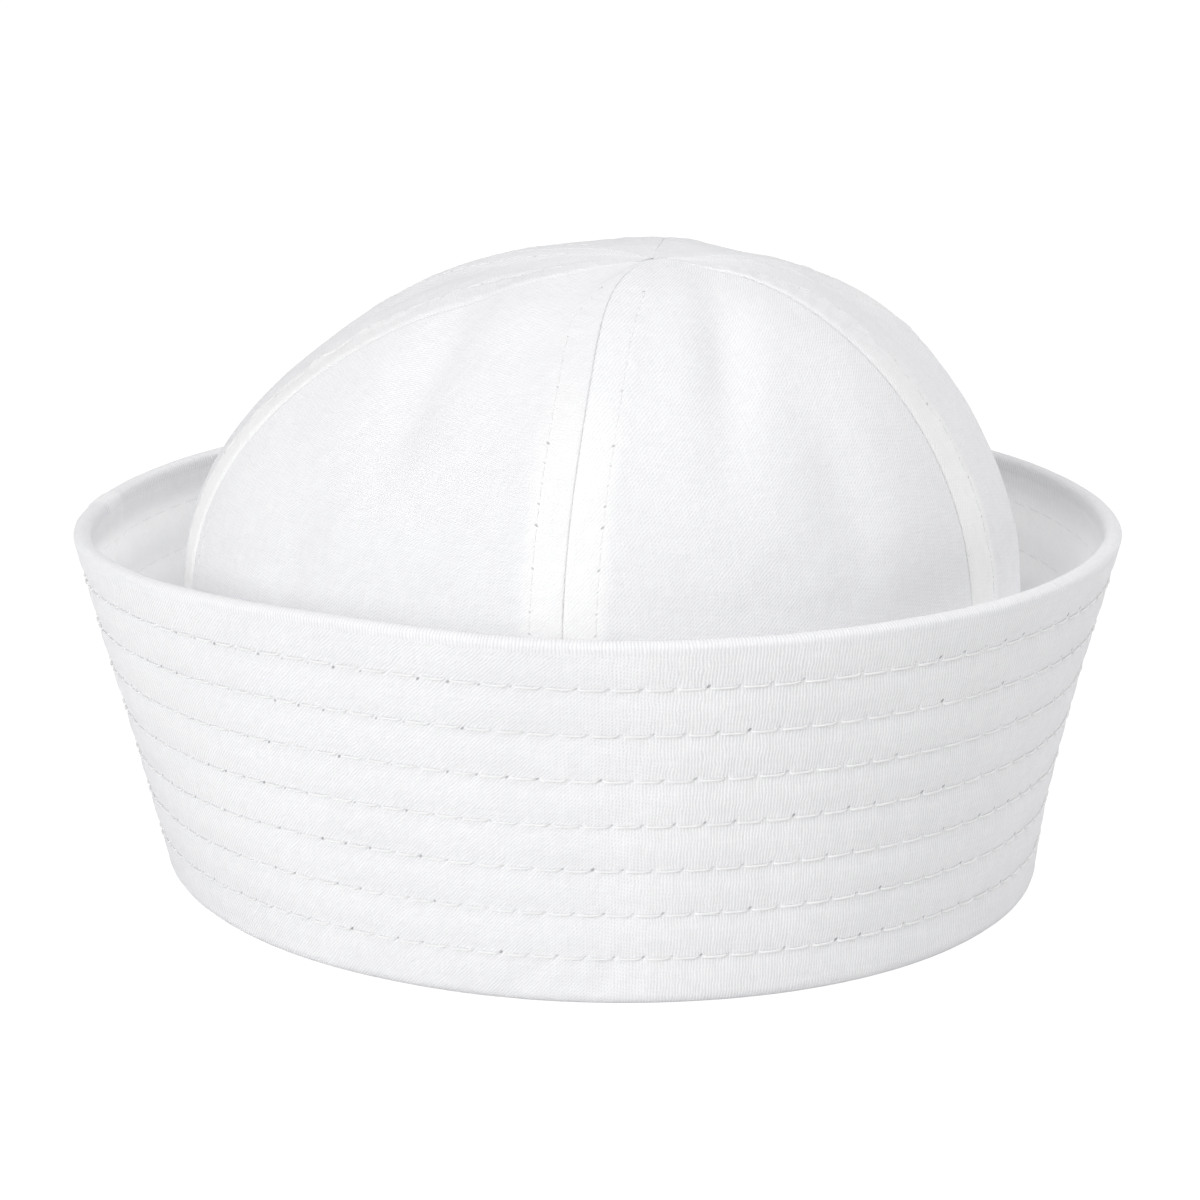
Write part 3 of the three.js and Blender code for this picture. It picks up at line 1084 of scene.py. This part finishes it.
    def build(self, effects: Effects) -> list[bpy.types.Object]:
        """Builds and dresses the gores and their topstitching.

        Args:
            effects: The shared node groups.

        Returns:
            The pieces.
        """
        finish = Twill(
            stitch=self.topstitch_pitch, row=ROW_UNIT, stagger=0.0, hook=0.0, hole=0.26,
            pull_depth=0.03, hole_shade=(0.55, 0.55, 0.57, 1.0), single=(0.895, 0.895, 0.91, 1.0),
        ).material("crown_twill", effects)
        cotton = Cotton().material("crown_thread")
        thread = Thread(radius=0.13, proud=-0.02, dip=0.3, hook=0.0)
        made = []
        for gore in GORES:
            sheet, maps, marks = self.sheet(gore)
            piece = cloth_object(f"{gore.name}_gore", sheet.points, maps, marks)
            self.thin_tip(piece)
            piece.data.materials.append(finish)
            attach(piece, "root")
            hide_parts(gore.node)
            lines = self.topstitch_lines(gore, sheet, thread)
            stitches = thread.sew(f"{gore.name}_topstitch", sheet, lines)
            stitches.data.materials.append(cotton)
            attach(stitches, "root")
            made += [piece, stitches]
        return made


@dataclass
class Brim:
    """A tall band of layered twill, stitched round in rows and turned up all round."""

    cloth: float = 2.6
    fold_radius: float = 3.5
    foot_width: float = 6.2
    first_row: float = 7.1
    row_pitch: float = 9.7
    row_count: int = 7
    row_depth: float = 0.42
    groove: float = 0.04
    groove_width: float = 0.9
    rim_swell: float = 0.6
    rim_swell_down: float = 7.0
    join_azimuth: float = 258.5
    join_width: float = 10.0
    join_rise: float = 0.5
    stitches_round: int = 108
    stitch_pitch: float = 6.0
    stagger: float = 0.37
    hook: float = 0.45
    columns: int = 540
    start: float = 180.0
    soft_height: Span = (3.0, 9.0)
    upright_from: Span = (-12.0, 14.0)
    upright_to: Span = (150.0, 120.0)
    outside_doubled: float = 0.2
    inside_painted_light: float = 0.75
    # Painted light: the brim's inside takes most of the lighter tone, where shade falls.
    join_doubled: float = 0.55
    # A painted glow lightens the brim's inside, more with depth below the rim.
    glow_depth: Span = (1.0, 9.0)
    between_rows: float = 0.4
    foot_rows: int = 2
    fold_rows: int = 6
    wall_rows: int = 98
    rim_rows: int = 8
    inside_rows: int = 60

    def quilt(self, up: Values) -> Values:
        """How deep the rows of stitches draw the cloth in, at distances up the wall."""
        row = (up - self.first_row) / self.row_pitch
        nearest = np.rint(row)
        above = smooth(self.row_count - 0.8, self.row_count - 0.3, row)
        inside = smooth(-0.9, -0.2, row) * (1 - above)
        wide = (0.5 + 0.5 * np.cos(2 * np.pi * row)) ** 1.3
        real = (nearest >= 0) & (nearest < self.row_count)
        narrow = np.where(real, bell((row - nearest) * self.row_pitch, self.groove_width), 0.0)
        return self.row_depth * wide * inside + self.groove * narrow

    def join(self, azimuth: Values, rim: Values) -> Values:
        """Share of the thickness that the overlapped ends of the band add."""
        off = np.abs(np.radians(turned(azimuth, self.join_azimuth))) * rim
        return 1 - smooth(self.join_width / 2 - 0.5, self.join_width / 2 + 0.4, off)

    def sheet(self) -> tuple[Sheet, dict[str, Points], dict[str, Values], dict[str, Values]]:
        """Lays out the brim's whole face: foot, outside, rim, inside.

        Returns:
            The face, its UV maps, its marks, and the rows of the net at the outside's and the
            inside's distances up the wall.
        """
        azimuth = self.start + np.linspace(0.0, 360.0, self.columns + 1)[None, :]
        fold, rim, height, sag = (around(column, azimuth) for column in Column)
        slant = np.hypot(rim - fold, height - self.fold_radius)
        rise = self.join_rise * self.join(azimuth, rim)
        half = self.cloth / 2

        def wall(up: Values) -> tuple[Values, Values]:
            """Distances from the axis and heights, at parts of the way up the wall."""
            bulge = sag * np.sin(np.pi * np.clip(up, 0.0, 1.0) ** 0.8)
            level = self.fold_radius + (height - self.fold_radius) * up
            return fold + (rim - fold) * up - bulge, level

        foot = np.linspace(0.0, 1.0, self.foot_rows, endpoint=False)[:, None]
        foot_r = fold - self.foot_width + (self.foot_width - self.fold_radius) * foot
        foot_z = np.zeros_like(foot_r)
        turn = np.radians(np.linspace(0.0, 80.0, self.fold_rows))[:, None]
        fold_r = fold - self.fold_radius * (1 - np.sin(turn))
        fold_z = self.fold_radius * (1 - np.cos(turn)) + 0 * fold
        top = 1 - half / slant
        up = np.linspace(0.0, 1.0, self.wall_rows + 1)[:, None] * top
        out_r, out_z = wall(up)
        out_up = up * slant
        edge_r, edge_z = wall(top)
        roll = np.radians(np.linspace(0.0, 180.0, self.rim_rows, endpoint=False))[1:, None]
        swell = self.rim_swell
        roll_r = edge_r - half - swell + (half + swell) * np.cos(roll)
        roll_z = edge_z + half * np.sin(roll)
        down = np.linspace(1.0, 0.02, self.inside_rows)[:, None] * top
        in_r, in_z = wall(down)
        in_up = down * slant
        in_r = in_r - self.cloth - 2 * swell * smooth(self.rim_swell_down, 0.0, top * slant - in_up)
        close_r = np.concatenate((fold - self.foot_width,) * 2)
        close_z = np.concatenate((self.cloth + 0 * fold, 0 * fold))

        outside = -self.quilt(out_up) + rise
        inside = self.quilt(in_up) - rise
        out_r = out_r + outside
        in_r = in_r + inside
        roll_r = roll_r + rise * np.cos(roll)
        radius = np.concatenate((foot_r, fold_r, out_r, roll_r, in_r, close_r))
        level = np.concatenate((foot_z, fold_z, out_z, roll_z, in_z, close_z))
        angle = np.radians(azimuth) + 0 * radius
        points = np.stack((radius * np.sin(angle), -radius * np.cos(angle), level), -1)

        first_out = self.foot_rows + self.fold_rows
        last_out = first_out + self.wall_rows + 1
        first_in = last_out + self.rim_rows - 1
        last_in = first_in + self.inside_rows
        held = np.zeros((len(radius), 1))
        held[first_out:last_in] = 1.0
        soft = uneven(points, BRIM_UNEVENNESS) * held * smooth(*self.soft_height, level)
        dents = self.dents(azimuth, level, fold) * (np.arange(len(radius)) < last_out)[:, None]
        away = np.stack((np.sin(angle), -np.cos(angle), 0 * angle), -1)
        points = points + away * (soft - dents)[..., None]
        points[:, -1] = points[:, 0]

        run = run_along(points)
        run = run - run[first_out : first_out + 1]
        mean_run = np.broadcast_to(run.mean(axis=1, keepdims=True), run.shape)
        girth = (azimuth - self.start) / 360.0 * self.stitches_round * self.stitch_pitch + 0 * radius
        before, past = -self.between_rows, self.row_count - 1 + self.between_rows
        row = np.full_like(radius, before)
        row[first_out:last_out] = np.clip((out_up - self.first_row) / self.row_pitch, before, past)
        row[last_out:last_in] = past
        maps = {
            CLOTH_MAP: np.stack((girth, mean_run), -1),
            NEEDLE_MAP: np.stack((girth / self.stitch_pitch, row), -1),
        }
        rolled = slice(last_out - 2, first_in + 2)
        doubled_and_painted_light = np.full_like(radius, self.outside_doubled)
        # Painted light: the brim's inside takes the lighter tone where shade falls.
        doubled_and_painted_light[first_in + 2 :] = self.inside_painted_light
        # Painted shade: the rolled rim keeps the single tone, darker, to damp its highlight.
        doubled_and_painted_light[rolled] = 0.0
        doubled_and_painted_light = doubled_and_painted_light + self.join_doubled * (rise / self.join_rise) * held
        bearing = turned(azimuth)
        upright = smooth(*self.upright_from, bearing) * smooth(*self.upright_to, bearing) + 0 * radius
        upright[rolled] = 1.0
        # Painted glow on the brim's inside, where shade falls.
        glow_mask = np.zeros_like(radius)
        glow_mask[first_in:last_in] = smooth(*self.glow_depth, top * slant - in_up)
        marks = {DOUBLED_AND_PAINTED_LIGHT: np.clip(doubled_and_painted_light, 0.0, 1.0), UPRIGHT: upright, PAINTED_GLOW: glow_mask}
        return Sheet(points, ring=True), maps, marks, {
            "outside_rows": np.arange(first_out, last_out) * 1.0,
            "outside_up": out_up.mean(axis=1),
            "inside_rows": np.arange(first_in, last_in) * 1.0,
            "inside_up": in_up.mean(axis=1),
        }

    def dents(self, azimuth: Values, level: Values, fold: Values) -> Values:
        """Depth of the small wrinkles on the outside, by azimuth and height."""
        depth = np.zeros_like(level)
        for dent in BRIM_DENTS:
            side = np.radians(turned(azimuth, dent.azimuth)) * fold
            depth = depth + dent.at(side, level - dent.rise)
        return depth

    def stitch_lines(self, net: dict[str, Values], side: str, thread: Thread) -> Lines:
        """The rows of stitches on one side of the brim.

        Args:
            net: Rows of the net at distances up the wall.
            side: Which side, as the net's names begin.
            thread: The thread that sews it.

        Returns:
            The lines, as Thread.sew takes them.
        """
        ups = net[f"{side}_up"]
        rows = net[f"{side}_rows"]
        order = np.argsort(ups)
        per_stitch = self.columns / self.stitches_round
        steps = np.linspace(0.05, 0.98, thread.steps + 1)
        lines = []
        for row in range(self.row_count):
            up = self.first_row + row * self.row_pitch
            level = np.interp(up, ups[order], rows[order])
            hooked = np.interp(up + thread.hook, ups[order], rows[order]) - level
            start = np.arange(self.stitches_round) + 0.5 - self.stagger * row
            column = (start[:, None] + steps[None, :]) * per_stitch
            lines.append((np.full_like(column, level), column, np.full(len(column), hooked)))
        return lines

    def build(self, effects: Effects) -> list[bpy.types.Object]:
        """Builds and dresses the brim and its rows of stitches.

        Args:
            effects: The shared node groups.

        Returns:
            The pieces.
        """
        sheet, maps, marks, net = self.sheet()
        piece = cloth_object("stitched_brim", sheet.points, maps, marks, closed=True)
        finish = Twill(
            stitch=self.stitch_pitch, row=self.row_pitch, stagger=self.stagger, hook=self.hook,
            hole=0.32, pull_depth=0.06,
        ).material("brim_twill", effects)
        piece.data.materials.append(finish)
        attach(piece, "root")
        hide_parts("brim")
        made = [piece]
        cotton = Cotton().material("brim_thread")
        for side, radius, proud in (("outside", 0.29, 0.24), ("inside", 0.14, -0.07)):
            thread = Thread(radius=radius, proud=proud, dip=0.35, hook=self.hook)
            lines = self.stitch_lines(net, side, thread)
            stitches = thread.sew(f"brim_stitches_{side}", sheet, lines)
            stitches.data.materials.append(cotton)
            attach(stitches, "root")
            made.append(stitches)
        return made


@dataclass(frozen=True)
class Panel:
    """A soft light in the sky: where it stands, the cosines from which and to which it swells, and
    its strength."""

    direction: tuple[float, float, float]
    low: float
    high: float
    strength: float


PANELS = (
    Panel((0.0, 0.0, 1.0), 0.3, 1.0, 0.86),
    Panel((0.84, -0.1, 0.54), 0.2, 1.0, 0.87),
    Panel((0.0, 0.0, -1.0), -0.3, 0.3, 0.3),
)


@dataclass
class Studio:
    """A pale floor, soft panels of light, a low key light from the front left, and the camera."""

    distance: float = 800.0
    elevation: float = 14.5
    look_at: tuple[float, float, float] = (0.838, 0.319, 57.55)
    focal: float = 3708.0
    frame_width: float = 1200.0
    sensor: float = 36.0
    floor_radius: float = 9.0
    floor_tone: float = 0.85
    floor_glow: float = 1.08
    key_strength: float = 1.84
    key_softness: float = 35.0
    key_azimuth: float = -44.0
    key_elevation: float = 18.0

    def floor(self) -> None:
        """Lays the floor."""
        built = bmesh.new()
        bmesh.ops.create_circle(built, cap_ends=True, segments=96, radius=self.floor_radius)
        made = linked("floor", mesh_of(built, "floor"))
        finish, desk, surface = new_finish("pale_floor")
        shader = finish.node_tree.nodes["Principled BSDF"].outputs[0]
        surface["Base Color"].default_value = (self.floor_tone,) * 3 + (1.0,)
        surface["Roughness"].default_value = 1.0
        surface["Specular IOR Level"].default_value = 0.0
        glow = desk.add("Emission", {"Strength": self.floor_glow})
        seen = desk.add("LightPath").outputs["Is Camera Ray"]
        mixed = desk.add("MixShader", {0: seen, 1: shader, 2: glow.outputs[0]})
        desk.feed(finish.node_tree.nodes["Material Output"].inputs["Surface"], mixed.outputs[0])
        made.data.materials.append(finish)
        made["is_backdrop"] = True

    def sky(self) -> None:
        """Surrounds the cap with the soft panels, on white for the camera."""
        world = bpy.data.worlds.new("white_studio")
        bpy.context.scene.world = world
        world.use_nodes = True
        desk = Desk(world.node_tree)
        way = desk.add("TexCoord").outputs["Generated"]
        glow = 0.0
        for panel in PANELS:
            facing = desk.add("VectorMath", {0: way, 1: panel.direction}, operation="DOT_PRODUCT")
            light = desk.ramp(facing.outputs["Value"], panel.low, panel.high, 0.0, panel.strength)
            glow = desk.math("ADD", glow, light)
        seen = desk.add("LightPath").outputs["Is Camera Ray"]
        strength = desk.add("Mix", {0: seen, 2: glow, 3: 1.0}, data_type="FLOAT").outputs[0]
        back = world.node_tree.nodes["Background"]
        back.inputs["Color"].default_value = (1.0, 1.0, 1.0, 1.0)
        desk.feed(back.inputs["Strength"], strength)

    def key(self) -> None:
        """Sets the soft key light."""
        lamp = bpy.data.lights.new("key", "SUN")
        lamp.energy = self.key_strength
        lamp.angle = math.radians(self.key_softness)
        tilt = math.radians(90.0 - self.key_elevation)
        linked("key", lamp).rotation_euler = (tilt, 0.0, math.radians(self.key_azimuth))

    def camera(self) -> None:
        """Sets up the camera at the photograph's angle."""
        lens = bpy.data.cameras.new("camera")
        lens.sensor_width = self.sensor
        lens.lens = self.focal / self.frame_width * self.sensor
        lens.clip_start = 0.01
        made = linked("camera", lens)
        angle = math.radians(self.elevation)
        back = Vector((0.0, -math.cos(angle), math.sin(angle)))
        made.location = (Vector(self.look_at) + back * self.distance) * MM
        made.rotation_euler = (math.radians(90.0) - angle, 0.0, 0.0)
        bpy.context.scene.camera = made

    def build(self) -> None:
        """Builds the floor, the light and the camera."""
        self.floor()
        self.sky()
        self.key()
        self.camera()
        bpy.context.scene.view_settings.view_transform = "Standard"
        bpy.context.scene.view_settings.look = "None"


def corners() -> list[list[float]]:
    """Lowest and highest corners of what is shown, as plain numbers."""
    return [[float(part) for part in corner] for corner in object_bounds()]


def main() -> None:
    """Builds the cap's pieces in order, and the studio round it."""
    logging.basicConfig(level=logging.INFO, format="%(message)s")
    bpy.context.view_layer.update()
    effects = Effects(weave=weave_group(), needles=needle_group(), tone=tone_group())
    for assembly in (Crown(), Brim()):
        for piece in assembly.build(effects):
            LOG.info("%s: %d faces", piece.name, len(piece.data.polygons))
    Studio().build()


if __name__ == "__main__":
    main()
